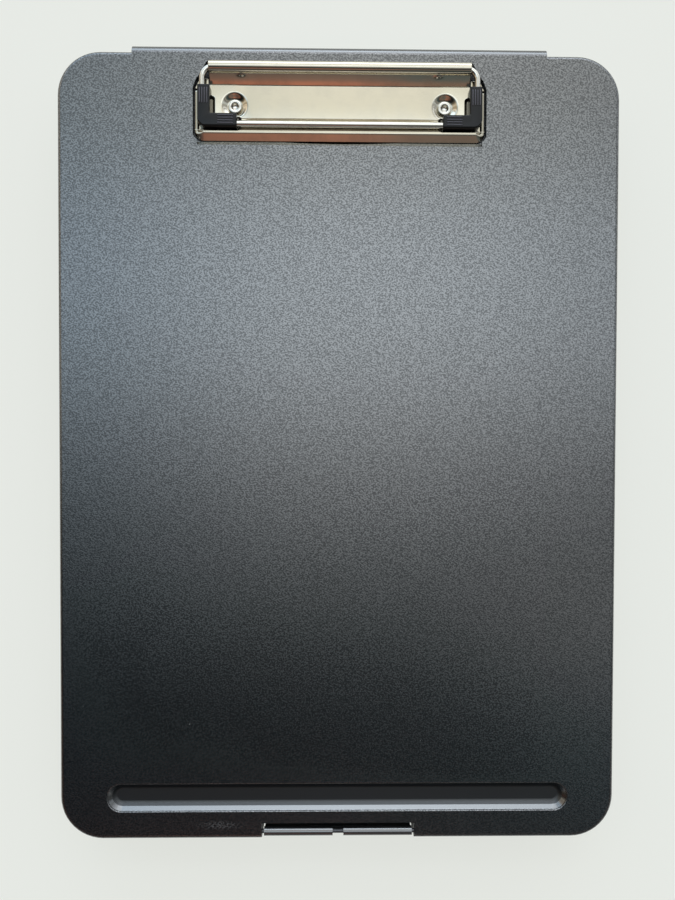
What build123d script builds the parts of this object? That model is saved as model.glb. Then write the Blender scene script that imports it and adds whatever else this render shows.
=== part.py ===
"""Storage clipboard box: hinged tray and lid, front latch flap and low-profile wire clip.

Frame: +Z up, +Y towards the hinge, +X to the right. The origin lies under the middle of the whole box.
All sizes are in millimetres.
"""

import os
from math import cos, radians, sin

from build123d import *

# Box
body_width = 241.0
body_length = 339.0
corner_radius = 18.5
tray_height = 18.0
parting_gap = 0.4
lid_height = 7.1

# Walls
tray_wall = 2.6
tray_floor = 2.0
lid_wall = 1.6
lid_plate = 2.0
lid_edge_radius = 1.8
tray_edge_radius = 2.0
tray_inner_radius = 1.5

# Rebate lip that centres the lid on the tray
lip_height = 1.5
lip_clearance = 0.2
lip_rear_stop = 20.0

# Hinge
hinge_span = 177.4
hinge_proud = 2.6
knuckle_count = 7
knuckle_gap = 0.4
knuckle_radius = 2.4
hinge_pin_radius = 1.0
pin_clearance = 0.05
hood_radius = 4.2
hood_clearance = 0.3
hood_rear_angle = 40.0
knuckle_end_cap = 1.2

# Latch
notch_width = 66.4
notch_depth = 6.9
latch_side_play = 0.9
latch_thickness = 1.8
latch_set_back = 0.5
latch_barrel_radius = 1.9
latch_pin_radius = 0.9
latch_top_clearance = 0.2
latch_bottom = 7.0
latch_middle_gap = 4.7
latch_gap_depth = 3.3
latch_lip = 1.2
hook_width = 28.0
hook_reach = 1.6
hook_height = 1.9
hook_grip = 0.8
hook_clearance = 0.3
ledge_height = 2.0
ledge_bottom = 11.6

# Pen groove
groove_length = 200.0
groove_width = 11.7
groove_depth = 3.3
groove_wall = 1.5
groove_slope = 2.7
groove_floor_round = 1.4
groove_shell_edge = 0.45
groove_rim = 0.5
groove_from_front = 18.2

# Clip wire
wire_radius = 1.25
wire_front_bend = 3.0
wire_rear_bend = 4.2
wire_past_roll = 3.0
wire_rise = 0.8
wire_to_rubber_side = 2.2
bail_reach = 23.1
bail_stub = 32.0
roll_from_rear = 6.9

# Clip base plate
sheet = 0.9
roll_play = 0.45
roll_slit = 0.6
plate_width = 124.6
plate_reach = 30.2
plate_corner = 3.5
plate_rear_step = 4.5
plate_rear_inset = 2.3
flat_below_lid = 0.3
flat_start = 8.2
flat_end = 21.2
valley_start = 6.0
valley_end = 7.2
valley_height = 1.4
trough_height = 1.5
bead_height = 2.6
bead_back = 2.7
bead_front = 2.6
bead_front_drop = 1.2
side_rim = 1.1
sheet_bend = 0.8
riser_high_angle = 10.0
riser_low_angle = 50.0

# Clip recess in the lid
recess_depth = 2.5
recess_floor = 1.6
recess_gap = 0.5
recess_corner = 3.5
recess_rear_round = 1.5
recess_past_roll = 1.0
recess_front_slope = 1.7
recess_front_drop = 1.3
thumb_dip_width = 48.0
thumb_dip_reach = 8.0
thumb_dip_depth = 0.6

# Rubber corners
rubber_side_play = 1.4
rubber_arm_width = 6.1
rubber_front_arm = 17.1
rubber_front_width = 4.4
rubber_front_cover = 1.9
rubber_rear_end = 8.1
rubber_height = 4.3
rubber_lift = 0.2
rubber_side_gap = 0.4
rubber_front_gap = 0.3
rubber_corner_cut = 2.2
rubber_edge = 0.4
rubber_bore_clearance = 0.02
rib_count = 4
rib_length = 7.0
rib_width = 0.55
rib_height = 0.3
rib_end = 1.3

# Rivets
rivet_from_side = 17.3
rivet_from_roll = 15.6
rivet_radius = 2.0
rivet_bore = 1.5
rivet_clearance = 0.1
rivet_flange = 2.9
rivet_flange_height = 0.55
rivet_tail = 3.0
rivet_tail_height = 0.5
dimple_top_radius = 5.0
dimple_bottom_radius = 4.1
washer_radius = 4.5
washer_height = 0.6

# Planes and heights that follow from the sizes above
y_mid = -hinge_proud / 2
y_rear = y_mid + body_length / 2
y_front = y_mid - body_length / 2
lid_bottom = tray_height + parting_gap
lid_top = lid_bottom + lid_height
plate_under = lid_top - lid_plate

hinge_y = y_rear + hinge_proud - hood_radius * cos(radians(hood_rear_angle))
hinge_z = lid_top - hood_radius
hood_inner = knuckle_radius + hood_clearance
hinge_half = hinge_span / 2
knuckle_pitch = hinge_span / knuckle_count
knuckle_length = knuckle_pitch - knuckle_gap
knuckle_x = [(i - (knuckle_count - 1) / 2) * knuckle_pitch for i in range(knuckle_count)]
lid_knuckle_x = knuckle_x[0::2]
tray_knuckle_x = knuckle_x[1::2]

latch_y = y_front + latch_set_back + latch_barrel_radius
latch_z = lid_top - latch_top_clearance - latch_barrel_radius
latch_half = notch_width / 2 - latch_side_play
latch_back = y_front + latch_set_back + latch_thickness
notch_back = y_front + notch_depth
hook_top = ledge_bottom - hook_clearance
hook_tip = latch_back + hook_reach
ledge_tip = hook_tip - hook_grip

roll_y = y_rear - roll_from_rear
roll_z = lid_top + wire_rise
roll_inner = wire_radius + roll_play
roll_outer = roll_inner + sheet
recess_z = lid_top - recess_depth
pan_z = recess_z + sheet
flat_z = lid_top - flat_below_lid
bead_z = recess_z + bead_height
trough_z = recess_z + trough_height
valley_z = recess_z + valley_height
plate_half = plate_width / 2
rubber_outer = plate_half - rubber_side_play
bail_arm_x = rubber_outer - wire_to_rubber_side
roll_half = bail_arm_x - wire_past_roll
pan_half = plate_half - side_rim
bead_foot = plate_reach - bead_front - bead_back

rubber_inner = rubber_outer - rubber_arm_width
rubber_end = rubber_outer - rubber_front_arm
rubber_front = bail_reach + rubber_front_cover
rubber_back = rubber_front - rubber_front_width
rubber_bottom = pan_z + rubber_lift
rubber_top = rubber_bottom + rubber_height
flat_half = rubber_inner - rubber_side_gap
trough_half = rubber_end - rubber_side_gap
flat_side_end = rubber_back - rubber_side_gap

groove_y = y_front + groove_from_front
groove_z = lid_top - groove_depth
groove_shell_round = plate_under - groove_z + groove_wall - groove_shell_edge
rivet_x = plate_half - rivet_from_side
rivet_y = roll_y - rivet_from_roll
washer_bottom = recess_z - recess_floor - washer_height

plate_step = rubber_rear_end
plate_rear = plate_step - plate_rear_step
pan_centre = (pan_half + trough_half) / 2
riser_high = radians(riser_high_angle)
riser_low = radians(riser_low_angle)
recess_half = plate_half + recess_gap
recess_rear_half = recess_half - plate_rear_inset + recess_gap
recess_step = plate_step
recess_front = roll_y - plate_reach - recess_gap
recess_rear = roll_y + roll_outer + recess_gap
dip_radius = (thumb_dip_width**2 / 4 + thumb_dip_depth**2) / (2 * thumb_dip_depth)
dip_start = recess_front - recess_front_slope
dip_plane = Plane(
    origin=(0, dip_start - thumb_dip_reach, lid_top),
    x_dir=(1, 0, 0),
    z_dir=(0, thumb_dip_reach, -thumb_dip_depth),
)


def forward(distance):
    """Y of a point that lies this far in front of the curl's axis."""
    return roll_y - distance


def groove_floor():
    """The level floor of the pen groove, while the lid is being made."""
    return lid_shell.faces().filter_by(Plane.XY).sort_by(
        lambda f: abs(f.center().Z - groove_z) + abs(f.center().Y - groove_y)
    )[0]


os.makedirs("parts", exist_ok=True)

# Bottom tray
with BuildPart() as bottom_tray:
    with BuildSketch():
        with Locations((0, y_mid)):
            RectangleRounded(body_width, body_length, corner_radius)
    extrude(amount=tray_height)
    fillet(bottom_tray.faces().sort_by(Axis.Z)[0].edges(), radius=tray_edge_radius)
    # paper space, kept a wall's width off the latch recess
    with BuildSketch(Plane.XY.offset(tray_floor)):
        with Locations((0, y_mid)):
            RectangleRounded(
                body_width - 2 * tray_wall, body_length - 2 * tray_wall, corner_radius - tray_wall
            )
        with Locations((0, y_front)):
            Rectangle(
                notch_width + 2 * tray_wall, 2 * (notch_depth + tray_wall), mode=Mode.SUBTRACT
            )
    extrude(amount=tray_height, mode=Mode.SUBTRACT)
    fillet(
        bottom_tray.faces().filter_by(Plane.XY).group_by(Axis.Z)[1].edges(), radius=tray_inner_radius
    )
    # recess that the latch flap lies in
    with BuildSketch(Plane.XY.offset(tray_floor)):
        with Locations((0, y_front)):
            Rectangle(notch_width, 2 * notch_depth)
    extrude(amount=tray_height, mode=Mode.SUBTRACT)
    # ledge that the flap's hook goes under
    with BuildSketch(Plane.XY.offset(ledge_bottom)):
        with Locations((0, notch_back + tray_wall / 2)):
            Rectangle(
                hook_width, notch_back + tray_wall / 2 - ledge_tip, align=(Align.CENTER, Align.MAX)
            )
    extrude(amount=ledge_height)
    # rebate lip on the front and the sides
    with BuildSketch(Plane.XY.offset(tray_height - lip_height)):
        with Locations((0, y_mid)):
            RectangleRounded(
                body_width - 2 * (lid_wall + lip_clearance),
                body_length - 2 * (lid_wall + lip_clearance),
                corner_radius - lid_wall - lip_clearance,
            )
            RectangleRounded(
                body_width - 2 * tray_wall,
                body_length - 2 * tray_wall,
                corner_radius - tray_wall,
                mode=Mode.SUBTRACT,
            )
        with Locations((0, y_rear)):
            Rectangle(body_width, 2 * lip_rear_stop, mode=Mode.SUBTRACT)
        with Locations((0, y_front)):
            Rectangle(
                notch_width + 2 * (tray_wall + lid_wall),
                2 * (notch_depth + tray_wall),
                mode=Mode.SUBTRACT,
            )
    extrude(amount=2 * lip_height)
    # knuckles on webs that rise from the rear wall
    for x in tray_knuckle_x:
        with BuildSketch(Plane.YZ.offset(x)):
            with Locations((hinge_y, hinge_z)):
                Circle(knuckle_radius)
            with Locations((y_rear, hinge_z)):
                Rectangle(
                    tray_wall, hinge_z - tray_height + tray_wall, align=(Align.MAX, Align.MAX)
                )
        extrude(amount=knuckle_length / 2, both=True)
    with BuildSketch(Plane.YZ):
        with Locations((hinge_y, hinge_z)):
            Circle(hinge_pin_radius + pin_clearance)
    extrude(amount=hinge_half, both=True, mode=Mode.SUBTRACT)

# Lid, with the writing surface
with BuildPart() as lid_shell:
    with BuildSketch(Plane.XY.offset(lid_bottom)):
        with Locations((0, y_mid)):
            RectangleRounded(body_width, body_length, corner_radius)
    extrude(amount=lid_height)
    fillet(lid_shell.faces().sort_by(Axis.Z)[-1].edges(), radius=lid_edge_radius)
    # underside
    with BuildSketch(Plane.XY.offset(lid_bottom)):
        with Locations((0, y_mid)):
            RectangleRounded(
                body_width - 2 * lid_wall, body_length - 2 * lid_wall, corner_radius - lid_wall
            )
        with Locations((0, y_front)):
            Rectangle(notch_width + 2 * lid_wall, 2 * (notch_depth + lid_wall), mode=Mode.SUBTRACT)
    extrude(amount=lid_height - lid_plate, mode=Mode.SUBTRACT)
    # notch for the latch flap
    with BuildSketch(Plane.XY.offset(lid_bottom)):
        with Locations((0, y_front)):
            Rectangle(notch_width, 2 * notch_depth)
    extrude(amount=lid_height, mode=Mode.SUBTRACT)
    # the rear skirt gives way to the hinge
    with BuildSketch(Plane.XY.offset(lid_bottom)):
        with Locations((0, y_rear)):
            Rectangle(hinge_span + 2 * knuckle_gap, 2 * lid_wall)
    extrude(amount=lid_height - lid_plate, mode=Mode.SUBTRACT)
    # hood: the plate runs on over the hinge and rounds down behind it
    with BuildSketch(Plane.YZ):
        with BuildLine():
            rear = hood_rear_angle
            outer = CenterArc((hinge_y, hinge_z), hood_radius, 90, rear - 90)
            end = Line(
                outer @ 1,
                (hinge_y + hood_inner * cos(radians(rear)), hinge_z + hood_inner * sin(radians(rear))),
            )
            inner = CenterArc((hinge_y, hinge_z), hood_inner, rear, 90 - rear)
            Polyline(
                inner @ 1,
                (hinge_y - hood_inner, plate_under),
                (hinge_y - hood_inner, lid_top),
                outer @ 0,
            )
        make_face()
    extrude(amount=hinge_half, both=True)
    # block under the plate that the clip recess is sunk in
    with BuildSketch(Plane.XY.offset(recess_z - recess_floor)):
        with Locations((0, recess_front - lid_wall)):
            Rectangle(
                2 * (recess_half + lid_wall),
                recess_rear - recess_front + 2 * lid_wall,
                align=(Align.CENTER, Align.MIN),
            )
    extrude(amount=recess_floor + recess_depth - lid_plate / 2)
    # knuckles, joined to the hood and the plate above them
    for x in lid_knuckle_x:
        with BuildSketch(Plane.YZ.offset(x)):
            with BuildLine():
                arc = CenterArc((hinge_y, hinge_z), hood_inner + hood_clearance, 180, rear - 180)
                Line(arc @ 1, (hinge_y, hinge_z))
                Line((hinge_y, hinge_z), arc @ 0)
            make_face()
            with Locations((hinge_y, hinge_z)):
                Circle(knuckle_radius)
        extrude(amount=knuckle_length / 2, both=True)
    # room for the tray's knuckles under the hood
    for x in tray_knuckle_x:
        with BuildSketch(Plane.YZ.offset(x)):
            with Locations((hinge_y, hinge_z)):
                Circle(hood_inner)
        extrude(amount=knuckle_length / 2 + knuckle_gap, both=True, mode=Mode.SUBTRACT)
    with BuildSketch(Plane.YZ):
        with Locations((hinge_y, hinge_z)):
            Circle(hinge_pin_radius + pin_clearance)
    extrude(amount=hinge_half - knuckle_end_cap, both=True, mode=Mode.SUBTRACT)
    # clip recess, cut in at its rear corners along the wire's bends, with a sloping front rim
    with BuildSketch(Plane.XY.offset(recess_z)) as recess_outline:
        with BuildLine():
            Polyline(
                (-recess_half, recess_front),
                (recess_half, recess_front),
                (recess_half, forward(recess_step)),
                (recess_rear_half, forward(plate_rear)),
                (recess_rear_half, forward(wire_rear_bend)),
                (roll_half + recess_past_roll, recess_rear),
                (-roll_half - recess_past_roll, recess_rear),
                (-recess_rear_half, forward(wire_rear_bend)),
                (-recess_rear_half, forward(plate_rear)),
                (-recess_half, forward(recess_step)),
                close=True,
            )
        make_face()
        fillet(recess_outline.vertices().group_by(Axis.Y)[0], radius=recess_corner)
        fillet(recess_outline.vertices().group_by(Axis.Y)[-1], radius=recess_rear_round)
    extrude(amount=recess_depth, mode=Mode.SUBTRACT)
    with BuildSketch(Plane.YZ):
        with BuildLine():
            Polyline(
                (recess_front + recess_floor, lid_top),
                (recess_front - recess_front_slope, lid_top),
                (recess_front, lid_top - recess_front_drop),
                (recess_front + recess_floor, lid_top - recess_front_drop),
                close=True,
            )
        make_face()
    extrude(amount=recess_half - recess_corner / 2, both=True, mode=Mode.SUBTRACT)
    # shallow thumb dip in front of the clip
    with BuildSketch(dip_plane):
        with Locations((0, dip_radius)):
            Circle(dip_radius)
    extrude(amount=thumb_dip_reach * 2, mode=Mode.SUBTRACT)
    with BuildSketch(Plane.XY.offset(recess_z)):
        with Locations((-rivet_x, rivet_y), (rivet_x, rivet_y)):
            Circle(rivet_radius + rivet_clearance)
    extrude(amount=-recess_floor, mode=Mode.SUBTRACT)
    # pen groove and the shell that wraps it below
    with BuildSketch(Plane.XY.offset(groove_z - groove_wall)):
        with Locations((0, groove_y)):
            SlotOverall(groove_length + 2 * groove_wall, groove_width + 2 * groove_wall)
    extrude(amount=groove_depth + groove_wall - lid_plate / 2)
    groove_shell = lid_shell.faces().filter_by(Plane.XY).sort_by(
        lambda f: abs(f.center().Z - groove_z + groove_wall) + abs(f.center().Y - groove_y)
    )[0]
    fillet(groove_shell.edges(), radius=groove_shell_round)
    with BuildSketch(Plane.XY.offset(lid_top)):
        with Locations((0, groove_y)):
            SlotOverall(groove_length, groove_width)
    extrude(amount=-groove_depth, mode=Mode.SUBTRACT)
    chamfer(groove_floor().edges(), length=groove_slope)
    fillet(groove_floor().edges(), radius=groove_floor_round)
    groove_reach = groove_width / 2 + groove_rim
    groove_mouth = lid_shell.edges().group_by(Axis.Z)[-1].filter_by_position(
        Axis.Y, groove_y - groove_reach, groove_y + groove_reach
    )
    fillet(groove_mouth, radius=groove_rim)
    # bearings for the latch pin in the notch's sides
    with BuildSketch(Plane.YZ):
        with Locations((latch_y, latch_z)):
            Circle(latch_pin_radius + pin_clearance)
    extrude(amount=notch_width / 2 + 2 * lid_wall, both=True, mode=Mode.SUBTRACT)

# Hinge pin
with BuildPart() as hinge_pin:
    with BuildSketch(Plane.YZ):
        with Locations((hinge_y, hinge_z)):
            Circle(hinge_pin_radius)
    extrude(amount=hinge_half - knuckle_end_cap - knuckle_gap, both=True)

# Latch pin
with BuildPart() as latch_pin:
    with BuildSketch(Plane.YZ):
        with Locations((latch_y, latch_z)):
            Circle(latch_pin_radius)
    extrude(amount=notch_width / 2 + lid_wall, both=True)

# Latch flap: a barrel in two lengths over a flat plate with a hook behind and a pull lip below
with BuildPart() as latch_flap:
    with BuildSketch(Plane.YZ) as flap_section:
        with Locations((latch_y, latch_z)):
            Circle(latch_barrel_radius)
        with Locations((latch_back, latch_bottom)):
            Rectangle(latch_thickness, latch_z - latch_bottom, align=(Align.MAX, Align.MIN))
        with Locations((latch_back, latch_bottom)):
            Rectangle(latch_thickness + latch_set_back, latch_lip, align=(Align.MAX, Align.MIN))
    extrude(amount=latch_half, both=True)
    with BuildSketch(Plane.XY.offset(hook_top - hook_height)):
        with Locations((0, latch_back - latch_thickness / 2)):
            Rectangle(hook_width, hook_reach + latch_thickness / 2, align=(Align.CENTER, Align.MIN))
    extrude(amount=hook_height)
    with BuildSketch(Plane.XY.offset(latch_z + latch_barrel_radius - latch_gap_depth)):
        with Locations((0, latch_y)):
            Rectangle(latch_middle_gap, 4 * latch_barrel_radius)
    extrude(amount=2 * latch_gap_depth, mode=Mode.SUBTRACT)
    with BuildSketch(Plane.YZ):
        with Locations((latch_y, latch_z)):
            Circle(latch_pin_radius + pin_clearance)
    extrude(amount=notch_width / 2, both=True, mode=Mode.SUBTRACT)

# Clip base plate
with BuildPart() as clip_base_plate:
    # pan with a rolled bead along its front and low rims along its sides
    with BuildSketch(Plane.XY.offset(recess_z)) as plate_outline:
        with BuildLine():
            Polyline(
                (-plate_half, forward(plate_reach)),
                (plate_half, forward(plate_reach)),
                (plate_half, forward(plate_step)),
                (plate_half - plate_rear_inset, forward(plate_rear)),
                (-plate_half + plate_rear_inset, forward(plate_rear)),
                (-plate_half, forward(plate_step)),
                close=True,
            )
        make_face()
        fillet(plate_outline.vertices().group_by(Axis.Y)[0], radius=plate_corner)
    extrude(amount=bead_height)
    plate_top = clip_base_plate.faces().sort_by(Axis.Z)[-1]
    chamfer(
        plate_top.edges().filter_by(lambda e: e.center().Y < forward(plate_step)),
        length=bead_front,
        length2=bead_front_drop,
        reference=plate_top,
    )
    with BuildSketch(Plane.YZ):
        with BuildLine():
            Polyline(
                (forward(plate_reach - bead_front), bead_z),
                (forward(plate_reach - bead_front), bead_z + sheet),
                (forward(0), bead_z + sheet),
                (forward(0), pan_z),
                (forward(bead_foot), pan_z),
                (forward(bead_foot), trough_z),
                close=True,
            )
        make_face()
    extrude(amount=pan_half, both=True, mode=Mode.SUBTRACT)
    with BuildSketch(Plane.XY.offset(pan_z)):
        with Locations((0, forward(plate_step))):
            Rectangle(2 * plate_width, 2 * plate_step, align=(Align.CENTER, Align.MIN))
        with Locations((-pan_centre, forward(rubber_front + rubber_front_gap))):
            Rectangle(pan_half - trough_half, plate_reach, align=(Align.CENTER, Align.MIN))
        with Locations((pan_centre, forward(rubber_front + rubber_front_gap))):
            Rectangle(pan_half - trough_half, plate_reach, align=(Align.CENTER, Align.MIN))
    extrude(amount=bead_height, mode=Mode.SUBTRACT)
    # trough that the wire's front run lies over
    with BuildSketch(Plane.XY.offset(recess_z)):
        with Locations((0, forward(bead_foot))):
            Rectangle(2 * trough_half, bead_foot - flat_end, align=(Align.CENTER, Align.MIN))
    extrude(amount=trough_height)
    # raised flat, cut back beside the rubber corners
    with BuildSketch(Plane.YZ) as flat_section:
        with BuildLine():
            Polyline(
                (forward(valley_end), recess_z),
                (forward(valley_end), valley_z),
                (forward(flat_start), flat_z),
                (forward(flat_end), flat_z),
                (forward(flat_end + flat_z - trough_z), trough_z),
                (forward(flat_end + flat_z - trough_z), recess_z),
                close=True,
            )
        make_face()
        fillet(flat_section.vertices().group_by(Axis.Y)[-1], radius=sheet_bend)
    extrude(amount=flat_half, both=True)
    with BuildSketch(Plane.XY.offset(pan_z)):
        with Locations((-pan_centre, forward(rubber_front)), (pan_centre, forward(rubber_front))):
            Rectangle(
                pan_half - trough_half, rubber_front - flat_side_end, align=(Align.CENTER, Align.MIN)
            )
    extrude(amount=bead_height, mode=Mode.SUBTRACT)
    # riser and the curl that holds the wire
    with BuildSketch(Plane.YZ) as curl_section:
        with BuildLine():
            Polyline(
                (forward(valley_end), recess_z),
                (forward(valley_end), valley_z),
                (forward(valley_start), valley_z),
                (forward(roll_outer * cos(riser_high)), roll_z - roll_outer * sin(riser_high)),
                (forward(roll_outer * cos(riser_low)), roll_z - roll_outer * sin(riser_low)),
                (forward(valley_start - sheet / 2), recess_z),
                close=True,
            )
        make_face()
        with Locations((roll_y, roll_z)):
            Circle(roll_outer)
            Circle(roll_inner, mode=Mode.SUBTRACT)
        with Locations((forward(roll_slit), roll_z - roll_inner)):
            Rectangle(roll_slit, 2 * sheet, align=(Align.MIN, Align.CENTER), mode=Mode.SUBTRACT)
    extrude(amount=roll_half, both=True)
    # hollow underside of the flat, left solid under the rivet dimples
    with BuildSketch(Plane.XY.offset(recess_z)):
        with Locations((0, forward(flat_side_end - 2 * sheet))):
            Rectangle(
                2 * (flat_half - sheet),
                flat_side_end - 2 * sheet - flat_start - sheet,
                align=(Align.CENTER, Align.MIN),
            )
        with Locations((-rivet_x, rivet_y), (rivet_x, rivet_y)):
            Circle(dimple_top_radius + sheet / 2, mode=Mode.SUBTRACT)
    extrude(amount=flat_z - sheet - recess_z, mode=Mode.SUBTRACT)
    # rivet dimples and holes
    for x in (-rivet_x, rivet_x):
        with BuildSketch(Plane.XY.offset(flat_z)):
            with Locations((x, rivet_y)):
                Circle(dimple_top_radius)
        with BuildSketch(Plane.XY.offset(pan_z)):
            with Locations((x, rivet_y)):
                Circle(dimple_bottom_radius)
        loft(mode=Mode.SUBTRACT)
    with BuildSketch(Plane.XY.offset(recess_z)):
        with Locations((-rivet_x, rivet_y), (rivet_x, rivet_y)):
            Circle(rivet_radius + rivet_clearance)
    extrude(amount=sheet, mode=Mode.SUBTRACT)


def bail_path():
    """Centre line of the bail: stub, arm, front run, arm, stub."""
    arm = bail_arm_x
    stub = roll_half - bail_stub
    return FilletPolyline(
        (-stub, roll_y, roll_z),
        (-arm, roll_y, roll_z),
        (-arm, forward(bail_reach), roll_z),
        (arm, forward(bail_reach), roll_z),
        (arm, roll_y, roll_z),
        (stub, roll_y, roll_z),
        radius=[wire_rear_bend, wire_front_bend, wire_front_bend, wire_rear_bend],
    )


# Wire bail
with BuildPart() as wire_bail:
    with BuildLine():
        bail_path()
    with BuildSketch(Plane.YZ.offset(bail_stub - roll_half)):
        with Locations((roll_y, roll_z)):
            Circle(wire_radius)
    sweep()

# Room that the wire takes inside the rubber corners
with BuildPart() as wire_room:
    with BuildLine():
        bail_path()
    with BuildSketch(Plane.YZ.offset(bail_stub - roll_half)):
        with Locations((roll_y, roll_z)):
            Circle(wire_radius + rubber_bore_clearance)
    sweep()

# Rubber corners, mirror images of each other
for side, name in ((-1, "rubber_corner_left"), (1, "rubber_corner_right")):
    with BuildPart() as rubber:
        with BuildSketch(Plane.XY.offset(rubber_bottom)) as rubber_outline:
            with BuildLine():
                Polyline(
                    (side * rubber_outer, forward(rubber_rear_end)),
                    (side * rubber_outer, forward(rubber_front - rubber_corner_cut)),
                    (side * (rubber_outer - rubber_corner_cut), forward(rubber_front)),
                    (side * rubber_end, forward(rubber_front)),
                    (side * rubber_end, forward(rubber_back)),
                    (side * rubber_inner, forward(rubber_back)),
                    (side * rubber_inner, forward(rubber_rear_end)),
                    close=True,
                )
            make_face()
            fillet(rubber_outline.vertices(), radius=rubber_edge)
        extrude(amount=rubber_height)
        fillet(rubber.faces().sort_by(Axis.Z)[-1].edges(), radius=rubber_edge)
        # grip ribs, along the side arm and along the front arm
        with BuildSketch(Plane.XY.offset(rubber_top - rib_height)):
            for i in range(rib_count):
                across = (i + 1) / (rib_count + 1)
                rib_x = side * (rubber_inner + rubber_arm_width * across)
                rib_y = forward(rubber_back + rubber_front_width * across)
                with Locations((rib_x, forward(rubber_rear_end + rib_end + rib_length / 2))):
                    SlotOverall(rib_length, rib_width, rotation=90)
                with Locations((side * (rubber_end + rib_end + rib_length / 2), rib_y)):
                    SlotOverall(rib_length, rib_width)
        extrude(amount=2 * rib_height)
        add(wire_room.part, mode=Mode.SUBTRACT)
    rubber.part.label = name
    export_step(rubber.part, f"parts/{name}.step")

# Rivets with a hollow shank, and their backing washers
for side, hand in ((-1, "left"), (1, "right")):
    with BuildPart() as rivet:
        with BuildSketch(Plane.XY.offset(pan_z)):
            with Locations((side * rivet_x, rivet_y)):
                Circle(rivet_flange)
        extrude(amount=rivet_flange_height)
        fillet(rivet.faces().sort_by(Axis.Z)[-1].edges(), radius=rivet_flange_height / 2)
        with BuildSketch(Plane.XY.offset(washer_bottom - rivet_tail_height)):
            with Locations((side * rivet_x, rivet_y)):
                Circle(rivet_tail)
        extrude(amount=rivet_tail_height)
        with BuildSketch(Plane.XY.offset(washer_bottom)):
            with Locations((side * rivet_x, rivet_y)):
                Circle(rivet_radius)
        extrude(amount=pan_z - washer_bottom)
        with BuildSketch(Plane.XY.offset(washer_bottom)):
            with Locations((side * rivet_x, rivet_y)):
                Circle(rivet_bore)
        extrude(amount=recess_depth + lid_height, mode=Mode.SUBTRACT)
    rivet.part.label = f"clip_rivet_{hand}"
    export_step(rivet.part, f"parts/clip_rivet_{hand}.step")
    with BuildPart() as washer:
        with BuildSketch(Plane.XY.offset(washer_bottom)):
            with Locations((side * rivet_x, rivet_y)):
                Circle(washer_radius)
                Circle(rivet_radius + rivet_clearance, mode=Mode.SUBTRACT)
        extrude(amount=washer_height)
    washer.part.label = f"rivet_washer_{hand}"
    export_step(washer.part, f"parts/rivet_washer_{hand}.step")

for name, piece in (
    ("bottom_tray", bottom_tray),
    ("lid_shell", lid_shell),
    ("hinge_pin", hinge_pin),
    ("latch_pin", latch_pin),
    ("latch_flap", latch_flap),
    ("clip_base_plate", clip_base_plate),
    ("wire_bail", wire_bail),
):
    piece.part.label = name
    export_step(piece.part, f"parts/{name}.step")
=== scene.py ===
"""Storage clipboard box: finishes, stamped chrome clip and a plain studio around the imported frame."""

import math

import bmesh
import bpy
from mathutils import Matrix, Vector


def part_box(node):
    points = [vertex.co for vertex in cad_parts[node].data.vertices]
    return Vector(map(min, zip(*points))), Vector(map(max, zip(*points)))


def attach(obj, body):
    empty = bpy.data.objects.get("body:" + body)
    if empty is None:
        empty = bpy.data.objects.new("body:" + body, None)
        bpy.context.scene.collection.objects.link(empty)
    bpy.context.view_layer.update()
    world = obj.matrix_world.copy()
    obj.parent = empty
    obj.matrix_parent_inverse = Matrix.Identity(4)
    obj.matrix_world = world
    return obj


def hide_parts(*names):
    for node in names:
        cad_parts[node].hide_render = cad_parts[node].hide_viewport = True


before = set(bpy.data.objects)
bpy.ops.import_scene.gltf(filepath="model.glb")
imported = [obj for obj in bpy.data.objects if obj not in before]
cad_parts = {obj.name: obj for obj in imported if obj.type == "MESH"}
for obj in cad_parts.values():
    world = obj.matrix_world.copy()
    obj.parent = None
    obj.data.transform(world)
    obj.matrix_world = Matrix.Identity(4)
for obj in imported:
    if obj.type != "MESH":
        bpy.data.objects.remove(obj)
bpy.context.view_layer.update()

bl_info = {
    "name": "Storage clipboard box",
    "version": (1, 0, 0),
    "blender": (4, 5, 0),
    "location": "View3D > Sidebar > Clipboard box",
    "description": "Dresses a hinged storage clipboard box with a low-profile wire clip",
    "category": "Object",
}

MM = 0.001
LID_LOW, LID_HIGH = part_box("lid_shell")
TRAY_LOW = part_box("bottom_tray")[0]
PLATE_LOW, PLATE_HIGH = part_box("clip_base_plate")
RIVET_LOW, RIVET_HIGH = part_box("clip_rivet_right")
RUBBER_LOW, RUBBER_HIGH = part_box("rubber_corner_right")
BAIL_LOW, BAIL_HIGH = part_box("wire_bail")
LID_TOP = LID_HIGH.z

# Rivet outlines in millimetres: radius and height above its tail, then radius and depth below its seat.
RIVET_TAIL = ((0, 0.35), (1.3, 0.3), (1.5, 0), (2.8, 0), (3.0, 0.2), (2.9, 0.5), (2.0, 0.5))
RIVET_HOLLOW = ((1.5, 0.1), (1.46, 0.9), (1.3, 1.2), (0.7, 1.36), (0, 1.4))

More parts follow.
